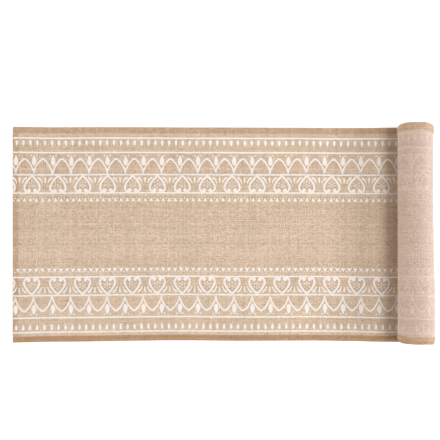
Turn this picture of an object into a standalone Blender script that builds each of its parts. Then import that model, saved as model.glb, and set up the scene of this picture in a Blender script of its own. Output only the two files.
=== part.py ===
"""Table runner of woven jute cloth with a thin backing and hemmed edges.

It lies face up along +X with one end rolled up on top of itself, back outwards. Metres, +Z up. The
origin is under the middle of the whole model: +X points along the runner to the roll, and +Y across it.
The cloth is one strip from end to end. Its layers are named from the table up: the hems and the backing
are under the face cloth, and on the roll they are outside it.
"""

import math

import bpy

# The runner as sewn
RUNNER_LENGTH = 1.829
RUNNER_WIDTH = 0.305
CLOTH_THICKNESS = 0.00045
BACKING_THICKNESS = 0.0002
THREAD_THICKNESS = 0.0003
THREAD_WIDTH = 0.0006
SIDE_HEM_WIDTH = 0.010
END_HEM_WIDTH = 0.010
PIECE_GAP = 0.0003

# How it is laid out
FLAT_LENGTH = 0.570
CORE_RADIUS = 0.0075
STATIONS_PER_TURN = 20

# The cloth is wound with its hem of one turn over the face of the next.
TURN_PITCH = 2 * (CLOTH_THICKNESS + PIECE_GAP)
ROLLED_LENGTH = RUNNER_LENGTH - FLAT_LENGTH
ROLL_RADIUS = math.sqrt(CORE_RADIUS**2 + TURN_PITCH * ROLLED_LENGTH / math.pi)
QUARTER_TURN_RADIUS = ROLL_RADIUS - TURN_PITCH / 4

# Heights of the layers over the table, lowest and highest
HEM_LAYER = (0.0, CLOTH_THICKNESS)
BACKING_LAYER = (CLOTH_THICKNESS - BACKING_THICKNESS, CLOTH_THICKNESS)
THREAD_LAYER = (CLOTH_THICKNESS - THREAD_THICKNESS, CLOTH_THICKNESS)
FACE_LAYER = (CLOTH_THICKNESS + PIECE_GAP, 2 * CLOTH_THICKNESS + PIECE_GAP)

# Places across the runner, from its centre line
EDGE_Y = RUNNER_WIDTH / 2
HEM_INNER_Y = EDGE_Y - SIDE_HEM_WIDTH
THREAD_OUTER_Y = HEM_INNER_Y - PIECE_GAP
THREAD_INNER_Y = THREAD_OUTER_Y - THREAD_WIDTH
BACKING_Y = THREAD_INNER_Y - PIECE_GAP

# Distances along the runner, from either end
THREAD_START = END_HEM_WIDTH + PIECE_GAP
THREAD_END = THREAD_START + THREAD_WIDTH
BACKING_START = THREAD_END + PIECE_GAP

# Places along X
OUTER_END_X = -(FLAT_LENGTH + QUARTER_TURN_RADIUS) / 2
ROLL_AXIS_X = OUTER_END_X + FLAT_LENGTH
FLAT_STOP_X = ROLL_AXIS_X - PIECE_GAP

JUTE_COLOUR = (0.62, 0.45, 0.31, 1.0)
BACKING_COLOUR = (0.82, 0.73, 0.66, 1.0)
THREAD_COLOUR = (0.50, 0.34, 0.21, 1.0)


def clear_scene():
    for old_object in list(bpy.data.objects):
        bpy.data.objects.remove(old_object, do_unlink=True)


def make_collection(name):
    collection = bpy.data.collections.new(name)
    bpy.context.scene.collection.children.link(collection)
    return collection


def make_material(name, colour, roughness):
    material = bpy.data.materials.new(name)
    material.use_nodes = True
    shader = material.node_tree.nodes["Principled BSDF"]
    shader.inputs["Base Color"].default_value = colour
    shader.inputs["Roughness"].default_value = roughness
    shader.inputs["Metallic"].default_value = 0.0
    return material


def make_empty(name, location, parent, collection):
    empty = bpy.data.objects.new(name, None)
    empty.empty_display_size = 0.02
    empty.location = location
    empty.parent = parent
    collection.objects.link(empty)
    return empty


def make_slab(name, x_span, y_span, layer, material, parent, collection):
    """A flat length of cloth, hem or thread between two values of X, of Y and of height."""
    bpy.ops.mesh.primitive_cube_add(size=1)
    slab = bpy.context.active_object
    slab.name = name
    slab.data.name = name
    spans = (x_span, y_span, layer)
    slab.location = [(low + high) / 2 for low, high in spans]
    slab.scale = [high - low for low, high in spans]
    bpy.ops.object.transform_apply(location=False, rotation=False, scale=True)
    slab.parent = parent
    slab.data.materials.append(material)
    for holder in list(slab.users_collection):
        holder.objects.unlink(slab)
    collection.objects.link(slab)
    return slab


def angle_at(length_rolled):
    """Turn, from the line where the cloth leaves the table, that takes up this much cloth."""
    radius_there = math.sqrt(ROLL_RADIUS**2 - TURN_PITCH * length_rolled / math.pi)
    return 2 * math.pi * (ROLL_RADIUS - radius_there) / TURN_PITCH


def station_point(station, depth):
    """Point of the winding at a whole station, as (along X, up) from the roll's axis."""
    angle = station * 2 * math.pi / STATIONS_PER_TURN
    radius = ROLL_RADIUS - TURN_PITCH * station / STATIONS_PER_TURN - depth
    return (radius * math.sin(angle), -radius * math.cos(angle))


def winding_point(angle, depth):
    """Point at any turn, on the straight side between its two stations, so that turns stay parallel."""
    station = angle * STATIONS_PER_TURN / (2 * math.pi)
    before = math.floor(station)
    share = station - before
    near, far = station_point(before, depth), station_point(before + 1, depth)
    return tuple(a + share * (b - a) for a, b in zip(near, far))


def winding_angles(start, end):
    """Start, the stations between, and end. A station at either end is not repeated."""
    step = 2 * math.pi / STATIONS_PER_TURN
    margin = step / 100
    first = math.ceil((start + margin) / step)
    last = math.floor((end - margin) / step)
    return [start, *(station * step for station in range(first, last + 1)), end]


def make_winding(name, lengths, y_span, layer, material, parent, collection):
    """A rolled-up length of cloth, hem or thread, between two lengths of cloth from the table."""
    angles = winding_angles(angle_at(lengths[0]), angle_at(lengths[1]))
    outside = [winding_point(angle, layer[0]) for angle in angles]
    inside = [winding_point(angle, layer[1]) for angle in reversed(angles)]
    outline = outside + inside
    curve = bpy.data.curves.new(name, "CURVE")
    curve.dimensions = "2D"
    curve.fill_mode = "BOTH"
    curve.extrude = (y_span[1] - y_span[0]) / 2
    spline = curve.splines.new("POLY")
    spline.points.add(len(outline) - 1)
    for point, (along, up) in zip(spline.points, outline):
        point.co = (along, up, 0.0, 1.0)
    spline.use_cyclic_u = True
    winding = bpy.data.objects.new(name, curve)
    winding.location = (0.0, (y_span[0] + y_span[1]) / 2, 0.0)
    winding.rotation_euler = (math.pi / 2, 0.0, 0.0)
    winding.parent = parent
    curve.materials.append(material)
    collection.objects.link(winding)
    return winding


def mirrored(span):
    return (-span[1], -span[0])


def build_flat_part(parent, collection, jute, backing, thread):
    """What lies on the table, from the outer end to the roll."""
    whole = (OUTER_END_X, FLAT_STOP_X)
    stitched = (OUTER_END_X + THREAD_START, FLAT_STOP_X)
    backed = (OUTER_END_X + BACKING_START, FLAT_STOP_X)
    end_hem = (OUTER_END_X, OUTER_END_X + END_HEM_WIDTH)
    end_seam = (OUTER_END_X + THREAD_START, OUTER_END_X + THREAD_END)
    make_slab("face_cloth_flat", whole, (-EDGE_Y, EDGE_Y), FACE_LAYER, jute, parent, collection)
    make_slab("backing_flat", backed, (-BACKING_Y, BACKING_Y), BACKING_LAYER, backing, parent, collection)
    across = (-THREAD_OUTER_Y, THREAD_OUTER_Y)
    make_slab("end_hem_outer", end_hem, across, HEM_LAYER, jute, parent, collection)
    across = (-BACKING_Y, BACKING_Y)
    make_slab("end_seam_thread_outer", end_seam, across, THREAD_LAYER, thread, parent, collection)
    hem, seam = (HEM_INNER_Y, EDGE_Y), (THREAD_INNER_Y, THREAD_OUTER_Y)
    for side, hem_span, seam_span in (("far", hem, seam), ("near", mirrored(hem), mirrored(seam))):
        make_slab(f"side_hem_{side}_flat", whole, hem_span, HEM_LAYER, jute, parent, collection)
        name = f"seam_thread_{side}_flat"
        make_slab(name, stitched, seam_span, THREAD_LAYER, thread, parent, collection)


def build_rolled_part(parent, collection, jute, backing, thread):
    """What is wound up, from the line where the cloth leaves the table to the inner end."""
    whole = (0.0, ROLLED_LENGTH)
    stitched = (0.0, ROLLED_LENGTH - THREAD_START)
    backed = (0.0, ROLLED_LENGTH - BACKING_START)
    end_hem = (ROLLED_LENGTH - END_HEM_WIDTH, ROLLED_LENGTH)
    end_seam = (ROLLED_LENGTH - THREAD_END, ROLLED_LENGTH - THREAD_START)
    make_winding("face_cloth_roll", whole, (-EDGE_Y, EDGE_Y), FACE_LAYER, jute, parent, collection)
    across = (-BACKING_Y, BACKING_Y)
    make_winding("backing_roll", backed, across, BACKING_LAYER, backing, parent, collection)
    make_winding("end_seam_thread_inner", end_seam, across, THREAD_LAYER, thread, parent, collection)
    across = (-THREAD_OUTER_Y, THREAD_OUTER_Y)
    make_winding("end_hem_inner", end_hem, across, HEM_LAYER, jute, parent, collection)
    hem, seam = (HEM_INNER_Y, EDGE_Y), (THREAD_INNER_Y, THREAD_OUTER_Y)
    for side, hem_span, seam_span in (("far", hem, seam), ("near", mirrored(hem), mirrored(seam))):
        make_winding(f"side_hem_{side}_roll", whole, hem_span, HEM_LAYER, jute, parent, collection)
        name = f"seam_thread_{side}_roll"
        make_winding(name, stitched, seam_span, THREAD_LAYER, thread, parent, collection)


def main():
    clear_scene()
    collection = make_collection("table_runner")
    jute = make_material("jute_cloth", JUTE_COLOUR, 0.9)
    backing = make_material("backing_cloth", BACKING_COLOUR, 0.85)
    thread = make_material("sewing_thread", THREAD_COLOUR, 0.7)
    runner = make_empty("runner", (0.0, 0.0, 0.0), None, collection)
    roll_axis = make_empty("roll_axis", (ROLL_AXIS_X, 0.0, ROLL_RADIUS), runner, collection)
    build_flat_part(runner, collection, jute, backing, thread)
    build_rolled_part(roll_axis, collection, jute, backing, thread)


main()
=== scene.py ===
"""The finished look of a printed jute table runner, laid flat with its far end rolled up.

Everything soft is made in cloth coordinates: the distance along the runner from the end that lies flat,
the distance across it from its centre line, and the height over its underside. RunnerLay turns such a
place into a point of the room, round the turns of the roll too, so that the cloth, its backing, the
stitches and the print all lie on each other wherever they go.
"""

import logging
import math
from collections.abc import Iterator
from contextlib import contextmanager
from dataclasses import dataclass, field
from enum import Enum, IntEnum

import bmesh
import bpy
import numpy as np
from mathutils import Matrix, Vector


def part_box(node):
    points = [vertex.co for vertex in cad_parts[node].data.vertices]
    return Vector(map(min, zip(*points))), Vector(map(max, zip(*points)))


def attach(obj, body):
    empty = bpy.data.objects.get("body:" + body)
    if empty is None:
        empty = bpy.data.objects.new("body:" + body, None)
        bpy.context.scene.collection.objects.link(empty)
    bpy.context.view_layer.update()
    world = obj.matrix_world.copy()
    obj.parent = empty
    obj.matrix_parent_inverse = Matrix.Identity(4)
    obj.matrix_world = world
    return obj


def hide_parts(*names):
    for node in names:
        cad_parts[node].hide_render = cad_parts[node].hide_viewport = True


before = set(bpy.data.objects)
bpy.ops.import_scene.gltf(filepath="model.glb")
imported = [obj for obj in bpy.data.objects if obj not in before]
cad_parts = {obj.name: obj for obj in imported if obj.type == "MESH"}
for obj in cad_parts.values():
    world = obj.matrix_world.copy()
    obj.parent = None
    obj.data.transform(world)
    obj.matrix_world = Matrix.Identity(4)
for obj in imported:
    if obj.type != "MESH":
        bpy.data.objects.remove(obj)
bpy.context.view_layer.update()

Colour = tuple[float, float, float]
Faces = list[tuple[int, ...]]
Pair = tuple[float, float]
Knots = tuple[Pair, ...]
Piece = bpy.types.Object
Points = np.ndarray
Socket = bpy.types.NodeSocket
Triple = tuple[float, float, float]
Wave = tuple[float, float, float, float]

LOG = logging.getLogger("table_runner")
CLOTH_MAP = "cloth_map"
ROOT_BODY = "root"
MM = 0.001
TINY = 1e-6
NO_LENGTH = 1e-12
SMOOTH_ANGLE = math.radians(50)
SHARPEST_MITRE = 0.38
DROP_TAPER = 0.55
DROP_TAPER_POWER = 1.5


class Side(Enum):
    """A long side of the runner, as the sign of Y there."""

    FAR = 1
    NEAR = -1


class Surface(Enum):
    """The side of the cloth that a printed film lies on, as the film's name."""

    FACE = "printed_border"
    BACK = "border_showing_through"


class InkLayer(IntEnum):
    """The layers of the print, so that ink that crosses other ink lies over it."""

    LINE = 0
    STROKE = 1
    SPOT = 2
    HEAD = 3


def eased(value: Points, knots: Knots) -> Points:
    """Read a smooth line that runs level through each knot.

    Args:
        value: Where to read it.
        knots: Pairs of a place and the line's value there, in order.

    Returns:
        The line's value at each place.
    """
    places, levels = zip(*knots)
    line = np.full(np.shape(value), levels[0], float)
    for low, high, before, after in zip(places, places[1:], levels, levels[1:]):
        line = line + (after - before) * smooth_step(value, low, high)
    return line


def smooth_step(value: Points, low: float, high: float) -> Points:
    """Rise smoothly from 0 at low to 1 at high.

    Args:
        value: Where to read the step.
        low: Where it leaves 0.
        high: Where it reaches 1.

    Returns:
        The step at each value.
    """
    share = np.clip((np.asarray(value, float) - low) / (high - low), 0.0, 1.0)
    return share * share * (3.0 - 2.0 * share)


def bent_wave(place: Points, other: Points, wave: Wave) -> Points:
    """Read a sine wave whose crests are bent by a second one.

    Args:
        place: Where to read it, along its run.
        other: Where to read it, along its crests.
        wave: Its rate, the bend's size, the bend's rate, and where it starts.

    Returns:
        The wave, from -1 to 1.
    """
    rate, bend, bend_rate, start = wave
    return np.sin(place * rate + bend * np.sin(other * bend_rate) + start)


def spaced(rows: Points, least: float = 0.2 * MM) -> Points:
    """Leave out each row that lies nearly on the one before it."""
    return rows[np.concatenate([[True], np.diff(rows) > least])]


# ---------------------------------------------------------------------------------------------
# How the runner lies
# ---------------------------------------------------------------------------------------------


@dataclass(frozen=True)
class RunnerLay:
    """Turns places on the cloth into points of the room. Sizes are in metres."""

    outer_end_x: float
    flat_length: float
    roll_radius: float
    turn_pitch: float
    width: float
    side_hem: float
    end_hem: float
    cloth: float
    face_low: float
    face_top: float
    length: float = 1.829
    oval: float = 0.036
    cone: float = 0.0052
    girth: Knots = (
        (-0.1525, -0.0001), (-0.11, 0.0005), (-0.065, 0.0003), (-0.02, 0.0001), (0.05, 0.0), (0.10, 0.0003),
        (0.13, 0.0003), (0.1525, 0.0007))
    flat_settle: float = 0.40 * MM
    roll_settle: float = 0.35 * MM
    settle_span: Pair = (-2 * MM, 14 * MM)
    foot_span: Pair = (-0.02, 0.03)
    far_edge: Knots = (
        (0.0, 0.0008), (0.06, 0.0001), (0.13, 0.0004), (0.27, -0.0001), (0.40, -0.0004), (0.47, -0.0010),
        (0.54, -0.0006), (0.608, -0.0014), (0.642, 0.0033), (0.665, 0.0030), (0.69, 0.0012), (0.75, 0.0004))
    near_edge: Knots = (
        (0.0, -0.0025), (0.06, -0.0013), (0.24, 0.0007), (0.33, 0.0), (0.43, 0.0004), (0.47, 0.0),
        (0.53, -0.0014), (0.605, -0.0016), (0.649, 0.0008), (0.69, 0.0018), (0.75, 0.0006))
    far_curl: Knots = ((0.575, 0.0), (0.61, -0.0017), (0.65, 0.0), (0.69, 0.0012))
    near_curl: Knots = ((0.575, 0.0), (0.61, 0.0006), (0.65, 0.0), (0.69, 0.0012))
    curl_span: Pair = (0.02, 0.045)
    sway_span: Pair = (0.15, 0.25)
    sways: tuple[Triple, ...] = ((0.5 * MM, 31.0, 0.0), (0.3 * MM, 13.0, 1.0))
    rim_width: float = 9 * MM
    rim_round: float = 2.0 * MM
    rim_round_width: float = 4 * MM
    cockle: float = 0.12 * MM
    cockle_along: Wave = (71.0, 2.1, 40.0, 0.0)
    cockle_across: Wave = (57.0, 1.7, 23.0, 0.6)
    held_flat: float = 0.03
    flat_rows: int = 115
    close_rows: int = 108
    close_turn: float = math.radians(5)
    wide_turn: float = math.radians(15)

    @classmethod
    def from_frame(cls) -> "RunnerLay":
        """Read the sizes off the fixed model.

        Returns:
            The lay whose flat part and roll fill the same space as the solids.
        """
        face_low, face_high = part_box("face_cloth_flat")
        hem_low, hem_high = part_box("side_hem_far_flat")
        roll_low, roll_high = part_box("side_hem_far_roll")
        end_low, end_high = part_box("end_hem_outer")
        turn_pitch = 2.0 * face_low.z
        roll_radius = (roll_high.z + turn_pitch / 2) / 2
        roll_axis_x = roll_high.x - roll_radius + turn_pitch / 4
        return cls(
            outer_end_x=face_low.x,
            flat_length=roll_axis_x - face_low.x,
            roll_radius=roll_radius,
            turn_pitch=turn_pitch,
            width=face_high.y - face_low.y,
            side_hem=hem_high.y - hem_low.y,
            end_hem=end_high.x - end_low.x,
            cloth=face_high.z - face_low.z,
            face_low=face_low.z,
            face_top=face_high.z,
        )

    @property
    def edge(self) -> float:
        """Distance from the centre line to a long edge."""
        return self.width / 2

    @property
    def face_middle(self) -> float:
        """Height of the middle of the face cloth's thickness."""
        return (self.face_low + self.face_top) / 2

    def turn_at(self, along: Points) -> Points:
        """Angle round the roll, 0 where the cloth leaves the table, that a distance along has reached."""
        rolled = np.maximum(np.asarray(along, float) - self.flat_length, 0.0)
        radius = np.sqrt(self.roll_radius**2 - self.turn_pitch * rolled / math.pi)
        return 2 * math.pi * (self.roll_radius - radius) / self.turn_pitch

    def along_at(self, turn: float) -> float:
        """Distance along the runner at an angle round the roll."""
        radius = self.roll_radius - self.turn_pitch * turn / (2 * math.pi)
        return self.flat_length + math.pi * (self.roll_radius**2 - radius**2) / self.turn_pitch

    def settle(self, along: Points, across: Points) -> Points:
        """Change of height between the hems, where the single cloth lies lower than the folded edges.

        It sinks to the table on the flat part and towards the axis on the roll.
        """
        inner = self.edge - self.side_hem
        middle = smooth_step(inner - np.abs(across), *self.settle_span)
        rolled = smooth_step(along - self.flat_length, *self.foot_span)
        return middle * (rolled * (self.roll_settle + self.flat_settle) - self.flat_settle)

    def sideways(self, along: Points, across: Points) -> Points:
        """Place across the table: the cloth's two edges wander, on the flat part and from turn to turn."""
        share = 0.5 + across / self.width
        far, near = eased(along, self.far_edge), eased(along, self.near_edge)
        inside = smooth_step(along - self.flat_length, *self.sway_span)
        sway = sum(size * np.sin(along * rate + start) for size, rate, start in self.sways)
        return across + share * far + (1.0 - share) * near + inside * sway

    def curl(self, along: Points, across: Points) -> Points:
        """Distance by which the rims of the roll bend in towards the axis."""
        to_edge = self.edge - np.abs(across)
        inwards = np.maximum(1.0 - to_edge / self.rim_width, 0.0)
        rounding = self.rim_round * np.maximum(1.0 - to_edge / self.rim_round_width, 0.0) ** 2
        amount = np.where(across > 0, eased(along, self.far_curl), eased(along, self.near_curl))
        rolled = smooth_step(along - self.flat_length, *self.curl_span)
        return amount * inwards**2 + rounding * rolled

    def relief(self, along: Points, across: Points) -> Points:
        """Height by which the flat cloth stands off the table in soft cockles."""
        waves = bent_wave(along, across, self.cockle_along) * bent_wave(across, along, self.cockle_across)
        return self.cockle * (1.0 + waves) * smooth_step(self.flat_length - along, 0.0, self.held_flat)

    def place(self, along: Points, across: Points, height: Points) -> Points:
        """Turn cloth coordinates into points of the room.

        Args:
            along: Distance along the runner from the end that lies flat.
            across: Distance from the centre line, positive at the far side.
            height: Height over the underside. Round the roll it runs inwards from the outside.

        Returns:
            An array of points, with the coordinates on the last axis.
        """
        along, across, height = np.broadcast_arrays(along, across, height)
        flat = np.minimum(along, self.flat_length)
        turn = self.turn_at(along)
        swell = eased(across, self.girth) - self.cone * across
        depth = height + self.settle(along, across) + self.curl(along, across)
        full = self.roll_radius + swell
        oval = 1.0 - self.oval * np.cos(2 * turn)
        radius = (full - self.turn_pitch * turn / (2 * math.pi)) * oval - depth
        x = self.outer_end_x + flat * (1.0 + swell / self.flat_length) + radius * np.sin(turn)
        y = self.sideways(along, across)
        z = full * (1.0 - self.oval) - radius * np.cos(turn) + self.relief(along, across)
        return np.stack([x, y, z], axis=-1)

    def stations(self) -> Points:
        """Distances along the runner at which the cloth is given a row of points.

        Returns:
            Even steps on the flat part, close ones round the first turns and wider ones inside.
        """
        flat = np.linspace(0.0, self.flat_length, self.flat_rows)
        last = float(self.turn_at(self.length))
        close = np.arange(1, self.close_rows + 1) * self.close_turn
        wide = np.arange(close[-1] + self.wide_turn, last, self.wide_turn)
        rolled = [self.along_at(turn) for turn in (*close, *wide)]
        return spaced(np.array([*flat, *rolled, self.length]))


# ---------------------------------------------------------------------------------------------
# Finishes
# ---------------------------------------------------------------------------------------------


class NodeDesk:
    """Adds shader nodes to one tree and links them, so that a finish reads as a list of steps."""

    def __init__(self, tree: bpy.types.NodeTree) -> None:
        """Start on a node tree."""
        self.tree = tree

    def add(self, kind: str, **settings: object) -> bpy.types.Node:
        """Add a node.

        Args:
            kind: The node's type name, without its ShaderNode start.
            **settings: Values for the node's own properties.

        Returns:
            The new node.
        """
        node = self.tree.nodes.new(f"ShaderNode{kind}")
        for name, value in settings.items():
            setattr(node, name, value)
        return node

    def feed(self, socket: Socket, value: object) -> None:
        """Link an output to a socket, or set the socket's own value."""
        if isinstance(value, Socket):
            self.tree.links.new(value, socket)
        elif isinstance(value, tuple) and len(value) == 3 and len(socket.default_value) == 4:
            socket.default_value = (*value, 1.0)
        else:
            socket.default_value = value

    def feed_all(self, node: bpy.types.Node, values: dict[str, object]) -> None:
        """Feed the inputs that a node is using, by their names."""
        for name, value in values.items():
            self.feed(next(s for s in node.inputs if s.name == name and s.enabled), value)

    def result(self, kind: str, values: dict[str, object], **settings: object) -> Socket:
        """Add a node, feed it and return its first output.

        Args:
            kind: The node's type name, without its ShaderNode start.
            values: What its inputs get, by their names.
            **settings: Values for the node's own properties.

        Returns:
            The first output that the node is using.
        """
        node = self.add(kind, **settings)
        self.feed_all(node, values)
        return next(s for s in node.outputs if s.enabled)

    def math(self, operation: str, *values: object, clamp: bool = False) -> Socket:
        """Add a Math node and return its result."""
        node = self.add("Math", operation=operation, use_clamp=clamp)
        for socket, value in zip(node.inputs, values):
            self.feed(socket, value)
        return node.outputs[0]

    def about(self, base: object, value: object, spread: object, clamp: bool = False) -> Socket:
        """Vary a base by a value that runs from 0 to 1, and leaves it as it is at a half."""
        return self.math("MULTIPLY_ADD", self.math("SUBTRACT", value, 0.5), spread, base, clamp=clamp)

    def join(self, x: object = 0.0, y: object = 0.0, z: object = 0.0) -> Socket:
        """Combine three numbers into a vector."""
        return self.result("CombineXYZ", {"X": x, "Y": y, "Z": z})

    def noise(self, vector: object, scale: float, detail: float = 2.0) -> Socket:
        """Add a noise texture and return its value, about 0.5."""
        return self.result("TexNoise", {"Vector": vector, "Scale": scale, "Detail": detail})

    def chance(self, index: object) -> Socket:
        """Return a random value from 0 to 1 that is the same wherever the index is."""
        return self.result("TexWhiteNoise", {"W": index}, noise_dimensions="1D")

    def ramp(self, value: object, low: float, high: float) -> Socket:
        """Rise smoothly from 0 at low to 1 at high."""
        values = {"Value": value, "From Min": low, "From Max": high}
        return self.result("MapRange", values, interpolation_type="SMOOTHSTEP")

    def blend(self, share: object, first: object, second: object) -> Socket:
        """Mix two numbers."""
        return self.result("Mix", {"Factor": share, "A": first, "B": second}, data_type="FLOAT")

    def tint(self, share: object, first: object, second: object, mode: str = "MIX") -> Socket:
        """Mix two colours."""
        values = {"Factor": share, "A": first, "B": second}
        return self.result("Mix", values, data_type="RGBA", blend_type=mode)

    def scaled(self, colour: object, amount: object) -> Socket:
        """Scale a colour by a number."""
        grey = self.result("CombineColor", {"Red": amount, "Green": amount, "Blue": amount})
        return self.tint(1.0, colour, grey, "MULTIPLY")

    def bump(self, height: object, distance: float) -> Socket:
        """Turn a height into a normal."""
        return self.result("Bump", {"Height": height, "Strength": 1.0, "Distance": distance})


def start_material(name: str,
                   values: dict[str, object]) -> tuple[bpy.types.Material, NodeDesk, bpy.types.Node]:
    """Start a material on a Principled shader.

    Args:
        name: The material's name.
        values: What is the same all over it, by the names of the shader's inputs.

    Returns:
        The material, a desk for its nodes and its shader.
    """
    material = bpy.data.materials.new(name)
    material.use_nodes = True
    desk = NodeDesk(material.node_tree)
    shader = material.node_tree.nodes["Principled BSDF"]
    desk.feed_all(shader, values)
    return material, desk, shader


@dataclass(frozen=True)
class PlainWeave:
    """Plain weave of spun threads, drawn in metres along and across the cloth."""

    thread_pitch: float = 1.45 * MM
    thread_share: float = 0.94
    crimp: float = 0.42
    straying: float = 0.9 * MM
    straying_scale: float = 26.0
    straying_stretch: float = 0.4
    straying_seed: float = 7.0
    slub_length: float = 5 * MM
    slub_step: float = 3.7
    slub_detail: float = 3.0
    slub_tone: float = 2.4
    own_tone: float = 0.50
    cross_share: float = 0.6
    cross_tone: float = 0.15
    cross_seed: float = 31.7
    long_seed: float = 5.3

    def group(self) -> bpy.types.NodeTree:
        """Make the weave's node group.

        Returns:
            A group with Height, 0 in a gap to 1 on a thread's crown, Tone, a thread's own lightness from
            0 to 1, and Along and Across, the place on the cloth in metres.
        """
        name = f"plain_weave_{self.thread_pitch / MM:.1f}"
        if name in bpy.data.node_groups:
            return bpy.data.node_groups[name]
        tree = bpy.data.node_groups.new(name, "ShaderNodeTree")
        for output in ("Height", "Tone", "Along", "Across"):
            tree.interface.new_socket(name=output, in_out="OUTPUT", socket_type="NodeSocketFloat")
        desk = NodeDesk(tree)
        exit_node = tree.nodes.new("NodeGroupOutput")
        place = desk.add("SeparateXYZ")
        desk.feed(place.inputs[0], desk.add("UVMap", uv_map=CLOTH_MAP).outputs[0])
        along, across = place.outputs[0], place.outputs[1]
        u = self._thread_count(desk, along, across, 0.0)
        v = self._thread_count(desk, across, along, self.straying_seed)
        column, row = desk.math("FLOOR", u), desk.math("FLOOR", v)
        from_column, from_row = (desk.math("SUBTRACT", desk.math("FRACT", count), 0.5) for count in (u, v))
        odd = desk.math("FLOORED_MODULO", desk.math("ADD", column, row), 2.0)
        sign = desk.math("MULTIPLY_ADD", odd, -2.0, 1.0)
        lengthwise = self._thread_height(desk, from_row, from_column, sign)
        crosswise = self._thread_height(desk, from_column, from_row, desk.math("MULTIPLY", sign, -1.0))
        on_top = desk.math("GREATER_THAN", lengthwise, crosswise)
        cross_tone = self._tone(desk, column, across, self.cross_seed, self.cross_share, -self.cross_tone)
        long_tone = self._tone(desk, row, along, self.long_seed, 1.0, self.cross_tone)
        height = desk.math("MAXIMUM", lengthwise, crosswise)
        tone = desk.blend(on_top, cross_tone, long_tone)
        desk.feed_all(exit_node, {"Height": height, "Tone": tone, "Along": along, "Across": across})
        return tree

    def _thread_count(self, desk: NodeDesk, place: object, other: object, seed: float) -> Socket:
        """Number of threads up to this place, with the threads straying from straight lines."""
        spot = desk.join(desk.math("MULTIPLY", place, self.straying_stretch), other, seed)
        strayed = desk.about(place, desk.noise(spot, self.straying_scale), 2 * self.straying)
        return desk.math("DIVIDE", strayed, self.thread_pitch)

    def _thread_height(self, desk: NodeDesk, aside: object, lengthways: object, sign: object) -> Socket:
        """Height of one set of threads: round across, and waved over and under along."""
        reach = desk.math("DIVIDE", aside, self.thread_share / 2)
        bulge = desk.math("SQRT", desk.math("SUBTRACT", 1.0, desk.math("POWER", reach, 2.0), clamp=True))
        wave = desk.math("COSINE", desk.math("MULTIPLY", lengthways, math.pi))
        lift = desk.math("MULTIPLY", desk.math("MULTIPLY", wave, sign), self.crimp)
        return desk.math("MULTIPLY", bulge, desk.math("ADD", lift, 1.0 - self.crimp))

    def _tone(self, desk: NodeDesk, index: object, place: object, seed: float, share: float,
              lift: float) -> Socket:
        """Lightness of a thread: its set's and its own, with thick and thin stretches along it."""
        own = desk.about(0.5 + lift, desk.chance(desk.math("ADD", index, seed)), self.own_tone * share)
        slub = desk.math("DIVIDE", place, self.slub_length)
        spot = desk.join(slub, desk.math("MULTIPLY", index, self.slub_step), seed)
        streak = desk.noise(spot, 1.0, self.slub_detail)
        return desk.about(own, streak, self.slub_tone * share, clamp=True)


@dataclass(frozen=True)
class HemPaintedShade:
    """Painted shade on the hems, for the less light that comes through the doubled cloth from the pale
    floor: full on the near side, about half on the far side and at the ends, and less on the turned-under
    cloth seen round the roll, which faces the light.
    """

    tint: Colour = (0.72, 0.56, 0.42)
    side_span: Pair = (-8.9 * MM, -7.7 * MM)
    far_share: float = 0.48
    under_span: Pair = (0.5 * MM, 1.5 * MM)
    under_share: float = 0.25
    end_span: Pair = (-9.0 * MM, -7.4 * MM)
    end_share: float = 0.50

    def mask(self, desk: NodeDesk, weave: bpy.types.Node, lay: RunnerLay) -> Socket:
        """Find where the hems get their painted shade.

        Args:
            desk: The desk of the material's nodes.
            weave: The weave, for its place on the cloth.
            lay: The runner, for where its edges are.

        Returns:
            The share of the painted shade, 0 between the hems.
        """
        far = weave.outputs["Across"]
        near = desk.math("MULTIPLY", far, -1.0)
        far_share = desk.math("MULTIPLY", self._past(desk, far, lay.edge, self.side_span), self.far_share)
        # Painted light: the near hem's turned-under cloth, seen on the outside of the roll, gets less of the
        # painted shade because it faces the light.
        under = desk.math("MULTIPLY", self._past(desk, near, lay.edge, self.under_span), self.under_share)
        near_share = desk.math("SUBTRACT", self._past(desk, near, lay.edge, self.side_span), under)
        half = lay.length / 2
        from_middle = desk.math("ABSOLUTE", desk.math("SUBTRACT", weave.outputs["Along"], half))
        ends = desk.math("MULTIPLY", self._past(desk, from_middle, half, self.end_span), self.end_share)
        return desk.math("MAXIMUM", desk.math("MAXIMUM", near_share, far_share), ends)

    @staticmethod
    def _past(desk: NodeDesk, place: object, edge: float, span: Pair) -> Socket:
        """Rise from 0 to 1 over a span counted from an edge."""
        return desk.ramp(place, edge + span[0], edge + span[1])


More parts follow.
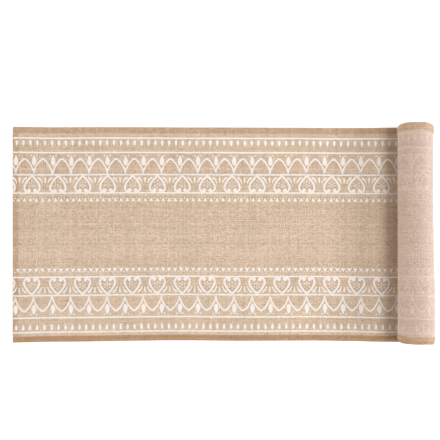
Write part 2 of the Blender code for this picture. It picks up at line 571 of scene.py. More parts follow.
@dataclass(frozen=True)
class ClothFinish:
    """Look of a woven surface: its colours, how much of the weave shows, painted shade in the weave's gaps
    and on the hems, and how it takes the light.
    """

    name: str
    dark: Colour
    light: Colour
    # Painted shade: the colour that the low places between the threads are darkened towards, and how far.
    gap_shade: Colour
    gap_shade_share: float
    relief: float
    fuzz: float
    mottle: float = 0.20
    hem_painted_shade: HemPaintedShade | None = None
    bare_share: float = 0.0
    bare: Colour = (0.6, 0.45, 0.31)
    roughness: float = 0.92
    sheen: float = 0.15
    sheen_roughness: float = 0.45
    specular: float = 0.25
    fibre_noise: Pair = (640.0, 4.0)
    fibre_relief: float = 0.5
    cloud_noise: Pair = (19.0, 3.0)
    gap_shade_span: Pair = (0.12, 0.62)
    wear_noise: Pair = (700.0, 2.0)
    wear_span: Pair = (0.52, 0.75)
    weave: PlainWeave = field(default_factory=PlainWeave)

    def material(self, lay: RunnerLay) -> bpy.types.Material:
        """Make the material.

        Args:
            lay: The runner, for where its hems are.

        Returns:
            The finished material.
        """
        material, desk, shader = start_material(self.name, {
            "Roughness": self.roughness, "Sheen Weight": self.sheen,
            "Sheen Roughness": self.sheen_roughness, "Specular IOR Level": self.specular})
        weave = desk.add("Group", node_tree=self.weave.group())
        height = weave.outputs["Height"]
        spot = desk.join(weave.outputs["Along"], weave.outputs["Across"])
        fibre = desk.noise(spot, *self.fibre_noise)
        haze = desk.about(0.0, desk.noise(spot, *self.cloud_noise), self.mottle)
        shade = desk.math("ADD", desk.about(1.0, fibre, self.fuzz), haze)
        colour = desk.scaled(desk.tint(weave.outputs["Tone"], self.dark, self.light), shade)
        # Painted shade on the hems: darker where the doubled cloth lets less light through from the floor.
        if self.hem_painted_shade:
            darker = desk.tint(1.0, colour, self.hem_painted_shade.tint, "MULTIPLY")
            colour = desk.tint(self.hem_painted_shade.mask(desk, weave, lay), colour, darker)
        # Painted shade: the low places of the weave, between the threads, are darkened as if shade fell into
        # them.
        deep = desk.math("SUBTRACT", 1.0, desk.ramp(height, *self.gap_shade_span))
        colour = desk.tint(desk.math("MULTIPLY", deep, self.gap_shade_share), colour, self.gap_shade)
        if self.bare_share:
            thin = desk.ramp(desk.noise(spot, *self.wear_noise), *self.wear_span)
            worn = desk.math("ADD", deep, thin, clamp=True)
            colour = desk.tint(desk.math("MULTIPLY", worn, self.bare_share), colour, self.bare)
        normal = desk.bump(desk.about(height, fibre, self.fibre_relief), self.relief)
        desk.feed_all(shader, {"Base Color": colour, "Normal": normal})
        return material


@dataclass(frozen=True)
class ThreadFinish:
    """Spun sewing thread with a soft sheen and its plies showing."""

    name: str = "sewing_thread"
    dark: Colour = (0.40, 0.26, 0.15)
    light: Colour = (0.62, 0.45, 0.29)
    roughness: float = 0.65
    sheen: float = 0.3
    ply_scale: float = 500.0
    ply_distortion: float = 2.0
    fleck_scale: float = 260.0
    relief: float = 0.05 * MM

    def material(self) -> bpy.types.Material:
        """Make the material."""
        settings = {"Roughness": self.roughness, "Sheen Weight": self.sheen}
        material, desk, shader = start_material(self.name, settings)
        place = desk.add("TexCoord").outputs["Object"]
        plies = desk.add("TexWave", wave_type="BANDS", bands_direction="DIAGONAL")
        desk.feed_all(plies, {"Vector": place, "Scale": self.ply_scale, "Distortion": self.ply_distortion})
        ply = plies.outputs["Fac"]
        lightness = desk.blend(0.5, ply, desk.noise(place, self.fleck_scale))
        colour = desk.tint(lightness, self.dark, self.light)
        desk.feed_all(shader, {"Base Color": colour, "Normal": desk.bump(ply, self.relief)})
        return material


JUTE = ClothFinish(
    name="jute_cloth",
    dark=(0.48, 0.325, 0.207),
    light=(0.85, 0.68, 0.522),
    gap_shade=(0.30, 0.20, 0.125),
    gap_shade_share=0.65,
    relief=0.80 * MM,
    fuzz=0.9,
    hem_painted_shade=HemPaintedShade(),
)
INK = ClothFinish(
    name="white_ink",
    dark=(0.77, 0.695, 0.64),
    light=(0.88, 0.825, 0.785),
    gap_shade=(0.66, 0.54, 0.44),
    gap_shade_share=0.50,
    relief=0.40 * MM,
    mottle=0.08,
    bare_share=0.35,
    fuzz=0.12,
)
BACKING = ClothFinish(
    name="backing_cloth",
    dark=(0.38, 0.276, 0.213),
    light=(0.61, 0.463, 0.383),
    gap_shade=(0.40, 0.28, 0.22),
    gap_shade_share=0.30,
    relief=0.25 * MM,
    mottle=0.12,
    sheen=0.70,
    fuzz=0.80,
)
SHOW_THROUGH = ClothFinish(
    name="ink_showing_through",
    dark=(0.466, 0.353, 0.288),
    light=(0.664, 0.522, 0.442),
    gap_shade=(0.41, 0.295, 0.235),
    gap_shade_share=0.30,
    relief=0.22 * MM,
    mottle=0.12,
    bare_share=0.5,
    bare=(0.495, 0.367, 0.295),
    sheen=0.70,
    fuzz=0.80,
)


# ---------------------------------------------------------------------------------------------
# Meshes
# ---------------------------------------------------------------------------------------------


def grid_faces(rows: int, columns: int, first: int = 0, turned: bool = False) -> Faces:
    """List the quads of a grid of points.

    Args:
        rows: Number of rows of points.
        columns: Number of points in a row.
        first: Index of the first point.
        turned: Whether the quads face the other way.

    Returns:
        The corners of each quad.
    """
    faces = []
    for row in range(rows - 1):
        for column in range(columns - 1):
            a = first + row * columns + column
            quad = (a, a + columns, a + columns + 1, a + 1)
            faces.append(quad[::-1] if turned else quad)
    return faces


def all_pairs(rows: Points, columns: Points) -> Points:
    """Places on the cloth of a grid's points, from those of its rows and of its columns."""
    return np.stack(np.broadcast_arrays(rows[:, None], columns[None, :]), -1).reshape(-1, 2)


def make_piece(name: str, points: Points, faces: Faces, places: Points) -> Piece:
    """Make a mesh object at the origin with its cloth map.

    Args:
        name: The piece's name.
        points: Its points in the room.
        faces: The corners of each face.
        places: Distance along and across the cloth, in metres, of each point.

    Returns:
        The new object, in the scene.
    """
    mesh = bpy.data.meshes.new(name)
    mesh.from_pydata(points.tolist(), [], faces)
    cloth_map = mesh.uv_layers.new(name=CLOTH_MAP)
    corners = np.empty(len(mesh.loops), np.int32)
    mesh.loops.foreach_get("vertex_index", corners)
    cloth_map.data.foreach_set("uv", np.asarray(places, np.float32)[corners].ravel())
    mesh.validate()
    piece = bpy.data.objects.new(name, mesh)
    bpy.context.scene.collection.objects.link(piece)
    return piece


@contextmanager
def opened(piece: Piece) -> Iterator[bmesh.types.BMesh]:
    """Open a piece's mesh for editing, and write it back afterwards."""
    shape = bmesh.new()
    shape.from_mesh(piece.data)
    yield shape
    shape.to_mesh(piece.data)
    shape.free()


def select_only(piece: Piece) -> None:
    """Make a piece the only selected and active object."""
    bpy.ops.object.select_all(action="DESELECT")
    piece.select_set(True)
    bpy.context.view_layer.objects.active = piece


def thicken(piece: Piece, thickness: float, offset: float = 0.0) -> None:
    """Give an open sheet its thickness, so that it becomes a closed body.

    Args:
        piece: The sheet.
        thickness: Its thickness.
        offset: -1 to grow it behind the sheet, 1 in front, 0 to both sides.
    """
    wall = piece.modifiers.new("thickness", "SOLIDIFY")
    wall.thickness = thickness
    wall.offset = offset
    wall.use_even_offset = False
    select_only(piece)
    bpy.ops.object.modifier_apply(modifier=wall.name)
    bpy.ops.object.shade_smooth_by_angle(angle=SMOOTH_ANGLE)


def join_doubles(piece: Piece, distance: float = 0.02 * MM) -> None:
    """Merge the points that lie on each other."""
    with opened(piece) as shape:
        bmesh.ops.remove_doubles(shape, verts=shape.verts, dist=distance)


def face_outwards(piece: Piece) -> None:
    """Turn the faces of closed bodies outwards."""
    with opened(piece) as shape:
        bmesh.ops.recalc_face_normals(shape, faces=shape.faces)


def finish_piece(piece: Piece, material: bpy.types.Material,
                 nodes: tuple[str, ...] = ()) -> Piece:
    """Dress a piece, hang it on the root body and hide the solids that it stands for.

    Args:
        piece: The piece.
        material: Its material.
        nodes: The fixed model's nodes that it replaces.

    Returns:
        The same piece.
    """
    piece.data.materials.clear()
    piece.data.materials.append(material)
    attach(piece, ROOT_BODY)
    if nodes:
        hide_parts(*nodes)
    return piece


# ---------------------------------------------------------------------------------------------
# The sewn runner
# ---------------------------------------------------------------------------------------------


@dataclass
class FaceCloth:
    """The jute cloth, cut with a hem allowance and turned under along all four edges."""

    lay: RunnerLay
    corner_gap: float = 0.3 * MM
    column_step: float = 6 * MM
    fold_points: int = 4

    @property
    def fold_radius(self) -> float:
        """Radius of the fold, at the middle of the cloth's thickness."""
        return (self.lay.face_middle - self.lay.cloth / 2) / 2

    @property
    def fold_start(self) -> float:
        """Distance from the folded edge at which the cloth starts to turn under."""
        return self.fold_radius + self.lay.cloth / 2

    @property
    def flap_reach(self) -> float:
        """Half the width of an end hem, which lies between the side hems."""
        return self.lay.edge - self.lay.side_hem - self.corner_gap

    def fold_profile(self) -> list[Triple]:
        """Section of a turned hem, from the face round the fold to the hem's raw edge.

        Returns:
            Distance inwards from the edge, height, and distance along the cloth past the fold's start.
        """
        lay, radius = self.lay, self.fold_radius
        hem_height = lay.face_middle - 2 * radius
        points = []
        for step in range(self.fold_points + 1):
            angle = math.pi * step / self.fold_points
            inwards = self.fold_start - radius * math.sin(angle)
            points.append((inwards, hem_height + radius * (1 + math.cos(angle)), radius * angle))
        rest = lay.side_hem - self.fold_start
        for share in (0.5, 1.0):
            points.append((self.fold_start + share * rest, hem_height, math.pi * radius + share * rest))
        return points

    def section(self) -> tuple[Points, Points, Points]:
        """Section across the whole cloth, from the near hem's raw edge over the face to the far one's.

        Returns:
            Across, height and flat distance across the cut cloth of each point.
        """
        lay = self.lay
        hem = self.fold_profile()
        start = lay.edge - self.fold_start
        columns = round(2 * self.flap_reach / self.column_step) + 1
        inner = np.linspace(-self.flap_reach, self.flap_reach, columns)
        outer = [inner[-1] + self.corner_gap, (inner[-1] + start) / 2]
        middle = [*(-place for place in reversed(outer)), *inner, *outer]
        near = [(-(lay.edge - inwards), height, -(start + past)) for inwards, height, past in reversed(hem)]
        far = [(lay.edge - inwards, height, start + past) for inwards, height, past in hem]
        face = [(place, lay.face_middle, place) for place in middle]
        across, height, cut = np.array([*near, *face, *far]).T
        return across, height, cut

    def build(self) -> list[Piece]:
        """Make the cloth.

        Returns:
            The finished piece.
        """
        lay = self.lay
        across, height, cut = self.section()
        rows = lay.stations()
        rows[0] = self.fold_start
        rows[-1] = lay.length - self.fold_start
        rows = spaced(rows)
        points = [lay.place(rows[:, None], across[None, :], height[None, :]).reshape(-1, 3)]
        places = [all_pairs(rows, cut)]
        faces = grid_faces(len(rows), len(across))
        between = across[(np.abs(across) <= self.flap_reach + TINY) & (height > lay.face_low)]
        for outer_end in (True, False):
            first = sum(len(block) for block in points)
            flap_points, flap_places = self._end_flap(between, outer_end)
            faces += grid_faces(len(flap_points) // len(between), len(between), first, turned=outer_end)
            points.append(flap_points)
            places.append(flap_places)
        piece = make_piece("face_cloth", np.concatenate(points), faces, np.concatenate(places))
        join_doubles(piece)
        thicken(piece, lay.cloth)
        nodes = ["face_cloth_flat", "face_cloth_roll", "end_hem_outer", "end_hem_inner"]
        nodes += [f"side_hem_{side}_{part}" for side in ("far", "near") for part in ("flat", "roll")]
        return [finish_piece(piece, JUTE.material(lay), tuple(nodes))]

    def _end_flap(self, across: Points, outer_end: bool) -> tuple[Points, Points]:
        """The hem turned under at one end, as points in the room and places on the cut cloth."""
        lay = self.lay
        inwards, height, past = np.array(self.fold_profile()).T
        if outer_end:
            along, cut = inwards, self.fold_start - past
        else:
            along, cut = lay.length - inwards, lay.length - self.fold_start + past
        points = lay.place(along[:, None], across[None, :], height[:, None]).reshape(-1, 3)
        return points, all_pairs(cut, across)


@dataclass
class Backing:
    """The thin backing on the underside, with its edges held in the turned hems."""

    lay: RunnerLay
    thickness: float = 0.2 * MM
    clearance: float = 0.05 * MM
    edge_margin: float = 1.5 * MM
    column_step: float = 7 * MM

    @property
    def middle(self) -> float:
        """Height of the middle of its thickness, just under the face cloth."""
        return self.lay.face_low - self.clearance - self.thickness / 2

    def build(self) -> list[Piece]:
        """Make the backing.

        Returns:
            The finished piece.
        """
        lay = self.lay
        reach = lay.edge - self.edge_margin
        across = np.linspace(-reach, reach, round(2 * reach / self.column_step) + 1)
        rows = lay.stations()
        rows[0], rows[-1] = self.edge_margin, lay.length - self.edge_margin
        points = lay.place(rows[:, None], across[None, :], self.middle).reshape(-1, 3)
        piece = make_piece("backing", points, grid_faces(len(rows), len(across)), all_pairs(rows, across))
        thicken(piece, self.thickness)
        nodes = ("backing_flat", "backing_roll")
        return [finish_piece(piece, BACKING.material(lay), nodes)]


@dataclass
class Seams:
    """Lockstitch seams that hold the four hems down, with a row of stitches on each side of the cloth."""

    lay: RunnerLay
    from_hem_edge: float = 1.8 * MM
    pitch: float = 3.6 * MM
    stitch_length: float = 3.1 * MM
    thread_width: float = 0.46 * MM
    thread_height: float = 0.30 * MM
    thread_sides: int = 6
    sink_share: float = 0.14

    def stitch(self) -> tuple[Points, Faces]:
        """Model one stitch, lying along X with its ends dipping into the cloth.

        Returns:
            Its points and faces.
        """
        bpy.ops.object.select_all(action="DESELECT")
        sides = self.thread_sides
        bpy.ops.mesh.primitive_uv_sphere_add(segments=sides, ring_count=sides, radius=0.5)
        model = bpy.context.active_object
        bpy.ops.transform.rotate(value=math.pi / 2, orient_axis="Y", center_override=(0, 0, 0))
        bpy.ops.object.transform_apply(location=False, rotation=True, scale=False)
        bpy.ops.transform.resize(value=(self.stitch_length, self.thread_width, self.thread_height))
        bpy.ops.object.transform_apply(location=False, rotation=False, scale=True)
        points = np.array([vertex.co for vertex in model.data.vertices])
        faces = [tuple(polygon.vertices) for polygon in model.data.polygons]
        bpy.data.objects.remove(model, do_unlink=True)
        return points, faces

    def row(self, name: str, along: Points, across: Points, crosswise: bool, nodes: tuple[str, ...],
            material: bpy.types.Material) -> Piece:
        """Copy the stitch along a seam, on the face and on the hem.

        Args:
            name: The seam's name.
            along: Distance along the runner of each stitch's middle.
            across: Distance across of each stitch's middle.
            crosswise: Whether the seam runs across the runner.
            nodes: The fixed model's nodes that it replaces.
            material: The thread's material.

        Returns:
            The finished seam.
        """
        lay = self.lay
        shape, shape_faces = self.stitch()
        if crosswise:
            shape = shape[:, [1, 0, 2]]
        sink = self.sink_share * self.thread_height
        points, faces = [], []
        for height in (lay.face_top + sink, -sink):
            for middle_along, middle_across in zip(along, across):
                first = len(points) * len(shape)
                points.append(lay.place(*(shape + (middle_along, middle_across, height)).T))
                faces += [tuple(first + corner for corner in face) for face in shape_faces]
        points = np.concatenate(points)
        piece = make_piece(name, points, faces, points[:, :2])
        face_outwards(piece)
        select_only(piece)
        bpy.ops.object.shade_smooth()
        return finish_piece(piece, material, nodes)

    def build(self) -> list[Piece]:
        """Make all four seams.

        Returns:
            The finished seams.
        """
        lay, material = self.lay, ThreadFinish().material()
        seam_across = lay.edge - lay.side_hem + self.from_hem_edge
        margin = self.from_hem_edge
        along = np.arange(margin + self.pitch / 2, lay.length - margin, self.pitch)
        pieces = []
        for side in Side:
            word = side.name.lower()
            nodes = (f"seam_thread_{word}_flat", f"seam_thread_{word}_roll")
            across = np.full_like(along, side.value * seam_across)
            pieces.append(self.row(f"side_seam_{word}", along, across, False, nodes, material))
        half = seam_across - self.pitch
        across = np.arange(-half, half, self.pitch)
        from_end = lay.end_hem - self.from_hem_edge
        for word, place in (("outer", from_end), ("inner", lay.length - from_end)):
            nodes = (f"end_seam_thread_{word}",)
            stitches = np.full_like(across, place)
            pieces.append(self.row(f"end_seam_{word}", stitches, across, True, nodes, material))
        return pieces


# ---------------------------------------------------------------------------------------------
# The print
# ---------------------------------------------------------------------------------------------


@dataclass
class InkShape:
    """Part of the print: points as distance along and distance in from the long edge, and a layer."""

    points: Points
    faces: Faces
    layer: InkLayer


def ink_stroke(path: Points, widths: Points | float, layer: InkLayer = InkLayer.STROKE) -> InkShape:
    """Make a stroke of ink along a path, mitred at its corners.

    Args:
        path: The path's points.
        widths: The stroke's width, or its width at each point.
        layer: The layer of ink it lies in.

    Returns:
        The stroke as a strip of quads.
    """
    path = np.asarray(path, float)
    widths = np.broadcast_to(widths, len(path))
    runs = np.diff(path, axis=0)
    runs /= np.maximum(np.linalg.norm(runs, axis=1, keepdims=True), NO_LENGTH)
    before = np.vstack([runs[:1], runs])
    after = np.vstack([runs, runs[-1:]])
    aside = before + after
    aside = np.stack([-aside[:, 1], aside[:, 0]], axis=1)
    aside /= np.maximum(np.linalg.norm(aside, axis=1, keepdims=True), NO_LENGTH)
    square = np.stack([-after[:, 1], after[:, 0]], axis=1)
    stretch = 1.0 / np.maximum((aside * square).sum(axis=1), SHARPEST_MITRE)
    reach = aside * (widths * stretch / 2)[:, None]
    points = np.stack([path + reach, path - reach], axis=1).reshape(-1, 2)
    faces = [(2 * k, 2 * k + 1, 2 * k + 3, 2 * k + 2) for k in range(len(path) - 1)]
    return InkShape(points, faces, layer)


def ink_blob(centre: Pair, outline: Points, layer: InkLayer = InkLayer.SPOT) -> InkShape:
    """Fill a closed outline round a point.

    Args:
        centre: The point.
        outline: The outline's points, as seen from the centre.
        layer: The layer of ink it lies in.

    Returns:
        The blob as a fan.
    """
    count = len(outline)
    points = np.vstack([[centre], np.asarray(centre) + outline])
    faces = [(0, 1 + k, 1 + (k + 1) % count) for k in range(count)]
    return InkShape(points, faces, layer)


def ink_dot(along: float, inset: float, radius: float, layer: InkLayer = InkLayer.SPOT,
            count: int = 12) -> InkShape:
    """Fill a circle."""
    return ink_blob((along, inset), round_outline(radius, count), layer)


def round_outline(radius: float, count: int = 12) -> Points:
    """Points round a circle."""
    turn = np.arange(count) * 2 * math.pi / count
    return radius * np.stack([np.cos(turn), np.sin(turn)], axis=1)


def drop_outline(half_width: float, to_point: float, to_round: float, count: int = 16) -> Points:
    """Outline of a drop about its widest place.

    Args:
        half_width: Half its width.
        to_point: Signed distance inwards from there to its point.
        to_round: Signed distance inwards from there to its round end.
        count: Number of points.

    Returns:
        The outline's points.
    """
    run, side = round_outline(1.0, count).T
    lengthways = np.abs(run) * np.where(run > 0, to_point, to_round)
    taper = 1.0 - DROP_TAPER * np.maximum(run, 0.0) ** DROP_TAPER_POWER
    return np.stack([half_width * side * taper, lengthways], axis=1)


def curve_through(points: Knots, steps: int) -> Points:
    """Smooth curve through a few points.

    Args:
        points: The points to pass through.
        steps: Number of stretches between two of them.

    Returns:
        The curve's points.
    """
    knots = np.array([points[0], *points, points[-1]], float)
    curve = []
    for k in range(1, len(knots) - 2):
        for t in np.arange(steps) / steps:
            a, b, c, d = knots[k - 1:k + 3]
            curve.append(0.5 * (2 * b + (c - a) * t + (2 * a - 5 * b + 4 * c - d) * t**2
                                + (3 * b - a - 3 * c + d) * t**3))
    curve.append(knots[-1])
    return np.array(curve)


@dataclass
class LaceBorder:
    """The lace-like border: rows of motifs between four lines, given as distances in from the edge."""

    length: float
    lines_at: tuple[float, ...] = (14.8 * MM, 35.2 * MM, 66.8 * MM, 92.8 * MM)
    line_width: float = 2.2 * MM
    line_step: float = 3.0 * MM
    line_wobble: float = 0.10
    wobble_rates: Pair = (900.0, 210.0)
    end_draw: float = 1.4 * MM
    drawn_span: Pair = (33 * MM, 56 * MM)
    drop_first: float = 6.7 * MM
    drop_pitch: float = 9.83 * MM
    drop_row: float = 20.4 * MM
    drop_shape: Triple = (1.95 * MM, 6.0 * MM, -2.6 * MM)
    arch_first: float = 5.2 * MM
    arch_pitch: float = 25.85 * MM
    arch_apex: float = 44.2 * MM
    arch_width: float = 2.2 * MM
    arch_side: Knots = ((0.0, 0.0), (0.01, 0.12), (0.06, 0.27), (0.16, 0.42), (0.31, 0.59), (0.51, 0.76),
                        (0.75, 0.91), (1.0, 1.0))
    leaf_first: float = 5.7 * MM
    leaf_row: float = 48.2 * MM
    leaf_shape: Triple = (3.35 * MM, -8.9 * MM, 5.7 * MM)
    leaf_dots: Triple = (4.0 * MM, 39.8 * MM, 1.25 * MM)
    heart_first: float = 28.6 * MM
    heart_pitch: float = 35.54 * MM
    heart_width: float = 2.8 * MM
    heart_side: Knots = ((0.0, 1.5), (2.6, 4.0), (5.8, 7.5), (8.4, 11.1), (10.2, 14.8), (10.9, 18.4),
                         (10.0, 21.8), (7.8, 23.8), (5.4, 23.4))
    heart_blobs: Triple = (4.2 * MM, 89.0 * MM, 2.7 * MM)
    flower_row: float = 80.2 * MM
    flower_radius: float = 4.1 * MM
    petal_radius: float = 1.0 * MM
    fan_middle: Knots = ((0.0, 5.0), (0.0, 11.8))
    fan_side: Knots = ((9.2, 4.5), (6.8, 6.4), (5.0, 9.3), (3.9, 12.5))
    fan_widths: Pair = (2.7 * MM, 2.8 * MM)
    fan_taper: float = 0.45
    triangle_first: float = 9.2 * MM
    triangle_pitch: float = 8.56 * MM
    triangle_row: float = 104.6 * MM
    triangle: Knots = ((-3.0, 0.0), (0.0, -5.2), (3.0, 0.0), (0.0, 0.3))
    between_dots: Pair = (100.4 * MM, 1.0 * MM)

    def repeats(self, first: float, pitch: float) -> Points:
        """Places of a motif along the runner, with one cut by the end, where the cloth is drawn out."""
        start = first - pitch * math.ceil(first / pitch)
        places = np.arange(start, self.length + pitch, pitch)
        return places - self.end_draw * (1 - smooth_step(places, *self.drawn_span))

    def lines(self) -> list[InkShape]:
        """The four plain lines, a little uneven in width."""
        along = np.arange(0.0, self.length + self.line_step, self.line_step)
        wobble = np.prod([np.sin(along * rate) for rate in self.wobble_rates], axis=0)
        widths = self.line_width * (1.0 + self.line_wobble * wobble)
        return [ink_stroke(np.stack([along, np.full_like(along, row)], 1), widths, InkLayer.LINE)
                for row in self.lines_at]

    def small_drops(self) -> list[InkShape]:
        """Drops hanging under the outer line, round towards the edge."""
        outline = drop_outline(*self.drop_shape)
        places = self.repeats(self.drop_first, self.drop_pitch)
        return [ink_blob((place, self.drop_row), outline) for place in places]

    def arches(self) -> list[InkShape]:
        """A row of pointed arches that stand on the third line."""
        foot_row = self.lines_at[2]
        side = curve_through(self.arch_side, steps=2) * (self.arch_pitch / 2, self.arch_apex - foot_row)
        path = np.vstack([side, side[-2::-1] * (-1, 1) + (self.arch_pitch, 0)])
        feet = self.repeats(self.arch_first, self.arch_pitch)
        return [ink_stroke(path + (foot, foot_row), self.arch_width) for foot in feet]

    def leaf_drops(self) -> list[InkShape]:
        """A large drop between two arches, pointed towards the edge, with two dots beside its point."""
        aside, dot_row, radius = self.leaf_dots
        shapes = []
        for place in self.repeats(self.leaf_first, self.arch_pitch):
            shapes.append(ink_blob((place, self.leaf_row), drop_outline(*self.leaf_shape)))
            shapes += [ink_dot(place + sign * aside, dot_row, radius) for sign in (-1, 1)]
        return shapes

    def hearts(self) -> list[InkShape]:
        """Open hearts, pointed towards the edge, with their lobes curled into blobs on the fourth line."""
        side = curve_through(self.heart_side, steps=3) * MM
        path = np.vstack([side[:0:-1] * (-1, 1), side])
        aside, blob_row, radius = self.heart_blobs
        shapes = []
        for place in self.repeats(self.heart_first, self.heart_pitch):
            shapes.append(ink_stroke(path + (place, self.lines_at[2]), self.heart_width))
            shapes += [ink_dot(place + sign * aside, blob_row, radius, count=14) for sign in (-1, 1)]
            shapes += self.flower(place)
        return shapes

    def flower(self, place: float) -> list[InkShape]:
        """Ring of six dots round a seventh, inside a heart."""
        petals = [*round_outline(self.flower_radius, 6)[:, ::-1], (0.0, 0.0)]
        return [ink_dot(place + aside, self.flower_row + inwards, self.petal_radius, count=10)
                for aside, inwards in petals]

    def fans(self) -> list[InkShape]:
        """Three tapered strokes between two hearts, with their heads towards the third line."""
        middle = curve_through(self.fan_middle, steps=4) * MM
        aside = curve_through(self.fan_side, steps=3) * MM
        narrow, wide = self.fan_widths
        shapes = []
        for place in self.repeats(self.heart_first + self.heart_pitch / 2, self.heart_pitch):
            for path, width in ((middle, narrow), (aside, wide), (aside * (-1, 1), wide)):
                path = path + (place, self.lines_at[2])
                widths = width * np.linspace(1.0, self.fan_taper, len(path))
                shapes.append(ink_stroke(path, widths, InkLayer.SPOT))
                shapes.append(ink_dot(*path[0], width / 2, InkLayer.HEAD))
        return shapes

    def triangles(self) -> list[InkShape]:
        """The innermost row: triangles pointed towards the edge, with a dot between each two."""
        corners = np.array(self.triangle) * MM
        dot_row, radius = self.between_dots
        shapes = []
        for place in self.repeats(self.triangle_first, self.triangle_pitch):
            shapes.append(InkShape(corners + (place, self.triangle_row), [(0, 1, 2, 3)], InkLayer.SPOT))
            shapes.append(ink_dot(place + self.triangle_pitch / 2, dot_row, radius))
        return shapes

    def shapes(self) -> list[InkShape]:
        """Every shape of the border."""
        rows = (self.lines, self.small_drops, self.arches, self.leaf_drops, self.hearts, self.fans,
                self.triangles)
        return [shape for row in rows for shape in row()]


@dataclass
class Print:
    """The border printed along both long sides, as thin films that follow the cloth."""

    lay: RunnerLay
    off_centre: float = -0.9 * MM
    film: float = 0.03 * MM
    lift: float = 0.07 * MM
    far_shift: float = 0.6 * MM
    back_shift: float = 8.2 * MM
    back_aside: float = 1.1 * MM
    backing_depth: float = 0.25 * MM
    layer_step: float = 0.012 * MM
    raggedness: float = 0.12 * MM
    ragged_along: Triple = (4100.0, 2300.0, 0.0)
    ragged_inset: Triple = (2700.0, -5100.0, 1.0)
    on_table: float = 3 * MM
    face_past_foot: float = 0.03
    back_before_foot: float = 0.02
    back_turn: float = 2.1 * math.pi

    @staticmethod
    def trimmed_ink(shift: float, start: float, end: float) -> tuple[Points, Points, Points, Faces]:
        """Join the border's ink and cut it off at two places along the runner.

        Args:
            shift: Distance along by which it is moved.
            start: Distance along the runner at which it starts.
            end: Distance along at which it stops.

        Returns:
            Distance along, distance in from the edge and layer of each point, and the faces.
        """
        shape = bmesh.new()
        level = shape.verts.layers.int.new("level")
        for ink in LaceBorder(length=end).shapes():
            corners = [shape.verts.new((along + shift, inset, 0.0)) for along, inset in ink.points]
            for corner in corners:
                corner[level] = ink.layer
            for face in ink.faces:
                shape.faces.new([corners[k] for k in face])
        for limit, normal in ((start, (-1, 0, 0)), (end, (1, 0, 0))):
            everything = [*shape.verts, *shape.edges, *shape.faces]
            bmesh.ops.bisect_plane(shape, geom=everything, plane_co=(limit, 0, 0), plane_no=normal,
                                   clear_outer=True)
        shape.verts.index_update()
        along, inset, levels = np.array([(v.co.x, v.co.y, v[level]) for v in shape.verts]).T
        faces = [tuple(v.index for v in face.verts) for face in shape.faces]
        shape.free()
        return along, inset, levels, faces

    def ragged(self, along: Points, inset: Points, rates: Triple) -> Points:
        """Small unevenness of the ink's edges."""
        return self.raggedness * np.sin(along * rates[0] + inset * rates[1] + rates[2])

    def film_piece(self, side: Side, surface: Surface, start: float, end: float) -> Piece:
        """Lay the border along one side of the cloth.

        Args:
            side: The long side that it runs along.
            surface: The side of the cloth that it is on.
            start: Distance along the runner at which it starts.
            end: Distance along at which it stops.

        Returns:
            The finished film.
        """
        lay = self.lay
        on_face = surface is Surface.FACE
        shift = self.far_shift if side is Side.FAR else 0.0
        centre = self.off_centre
        if not on_face:
            shift += self.back_shift
            centre += self.back_aside
        along, inset, levels, faces = self.trimmed_ink(shift, start, end)
        along = along + self.ragged(along, inset, self.ragged_along) * (along > start + TINY)
        inset = inset + self.ragged(along, inset, self.ragged_inset)
        across = side.value * (lay.edge - inset) + centre
        lifted = self.lift + self.layer_step * levels
        height = lay.face_top + lifted if on_face else lay.face_low - self.backing_depth - lifted
        name = f"{surface.value}_{side.name.lower()}"
        piece = make_piece(name, lay.place(along, across, height), faces, np.stack([along, across], 1))
        self._turn_from_cloth(piece, surface)
        thicken(piece, self.film, offset=-1.0)
        if on_face:
            return finish_piece(piece, INK.material(lay))
        return finish_piece(piece, SHOW_THROUGH.material(lay))

    def _turn_from_cloth(self, piece: Piece, surface: Surface) -> None:
        """Turn every face of a film the same way: away from the cloth."""
        lay = self.lay
        axis_x = lay.outer_end_x + lay.flat_length
        with opened(piece) as shape:
            turned = []
            for face in shape.faces:
                middle = face.calc_center_median()
                back = Vector((middle.x - axis_x, 0, middle.z - lay.roll_radius))
                if middle.x < axis_x and middle.z <= self.on_table:
                    back = Vector((0, 0, -1))
                if (face.normal.dot(back) < 0) != (surface is Surface.FACE):
                    turned.append(face)
            bmesh.ops.reverse_faces(shape, faces=turned)

    def build(self) -> list[Piece]:
        """Print both borders, and their faint marks on the back of the roll's outer turn.

        Returns:
            The finished films.
        """
        foot = self.lay.flat_length
        back_end = self.lay.along_at(self.back_turn)
        pieces = []
        for side in Side:
            pieces.append(self.film_piece(side, Surface.FACE, 0.0, foot + self.face_past_foot))
            pieces.append(self.film_piece(side, Surface.BACK, foot - self.back_before_foot, back_end))
        return pieces


# ---------------------------------------------------------------------------------------------
# The room
# ---------------------------------------------------------------------------------------------


@dataclass(frozen=True)
class Softbox:
    """A square light that faces the runner.

    Azimuth, 0 at +X and 90 at +Y, and elevation are in degrees, size and distance in metres, power in watts.
    """

    name: str
    azimuth: float
    elevation: float
    size: float
    power: float
    colour: Colour
    distance: float = 6.0

    def hang(self) -> None:
        """Put the light in the room."""
        turn, rise = math.radians(self.azimuth), math.radians(self.elevation)
        way = Vector((math.cos(turn) * math.cos(rise), math.sin(turn) * math.cos(rise), math.sin(rise)))
        lamp = bpy.data.lights.new(self.name, "AREA")
        lamp.shape = "SQUARE"
        lamp.size = self.size
        lamp.energy = self.power
        lamp.color = self.colour
        light = bpy.data.objects.new(self.name, lamp)
        light.location = way * self.distance
        light.rotation_euler = way.to_track_quat("Z", "Y").to_euler()
        bpy.context.scene.collection.objects.link(light)


SOFTBOXES = (
    Softbox("high_key", azimuth=0, elevation=59, size=2.4, power=216, colour=(1.0, 1.0, 1.0)),
    Softbox("low_key", azimuth=0, elevation=27, size=1.8, power=222, colour=(0.97, 1.0, 1.04)),
    Softbox("fill", azimuth=180, elevation=6, size=1.6, power=240, colour=(1.0, 0.94, 0.86)),
)


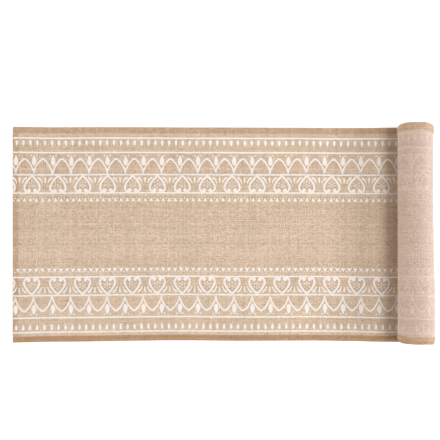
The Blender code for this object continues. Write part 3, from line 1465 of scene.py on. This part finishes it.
@dataclass
class Studio:
    """Pale floor, soft lights and the camera straight above."""

    lay: RunnerLay
    floor_size: float = 8.0
    floor_drop: float = 0.15 * MM
    floor_colour: Colour = (0.75, 0.75, 0.75)
    floor_glow: float = 0.40
    sky_strength: float = 0.43
    camera_height: float = 1.36
    frame_width: float = 0.6285
    sensor: float = 36.0
    view_reach: float = 50.0
    from_outer_end: float = 0.29606
    from_centre_line: float = 0.0201

    def floor(self) -> None:
        """Lay the floor just under the cloth."""
        bpy.ops.object.select_all(action="DESELECT")
        bpy.ops.mesh.primitive_plane_add(size=self.floor_size, location=(0, 0, -self.floor_drop))
        floor = bpy.context.active_object
        floor.name = "floor"
        material, _, _ = start_material("pale_floor", {
            "Base Color": self.floor_colour, "Roughness": 0.9, "Specular IOR Level": 0.1,
            "Emission Color": (1.0, 1.0, 1.0), "Emission Strength": self.floor_glow})
        floor.data.materials.append(material)

    def sky(self) -> None:
        """Fill the room with even light."""
        world = bpy.data.worlds.new("studio")
        world.use_nodes = True
        background = world.node_tree.nodes["Background"]
        background.inputs["Color"].default_value = (1.0, 1.0, 1.0, 1.0)
        background.inputs["Strength"].default_value = self.sky_strength
        bpy.context.scene.world = world

    def camera(self) -> None:
        """Look straight down with a long lens."""
        lens = bpy.data.cameras.new("camera")
        lens.sensor_width = self.sensor
        lens.lens = self.sensor * self.camera_height / self.frame_width
        lens.clip_end = self.view_reach
        camera = bpy.data.objects.new("camera", lens)
        x = self.lay.outer_end_x + self.from_outer_end
        camera.location = (x, self.from_centre_line, self.camera_height)
        bpy.context.scene.collection.objects.link(camera)
        bpy.context.scene.camera = camera

    def build(self) -> None:
        """Set up the floor and the light."""
        self.floor()
        self.sky()
        for softbox in SOFTBOXES:
            softbox.hang()
        bpy.context.scene.view_settings.view_transform = "Standard"


def main() -> None:
    """Build the runner and the room round it."""
    logging.basicConfig(level=logging.INFO, format="%(message)s")
    lay = RunnerLay.from_frame()
    studio = Studio(lay)
    studio.camera()
    for part in (FaceCloth(lay), Backing(lay), Seams(lay), Print(lay)):
        for piece in part.build():
            triangles = sum(len(polygon.vertices) - 2 for polygon in piece.data.polygons)
            LOG.info("%s: %d triangles", piece.name, triangles)
    studio.build()


if __name__ == "__main__":
    main()
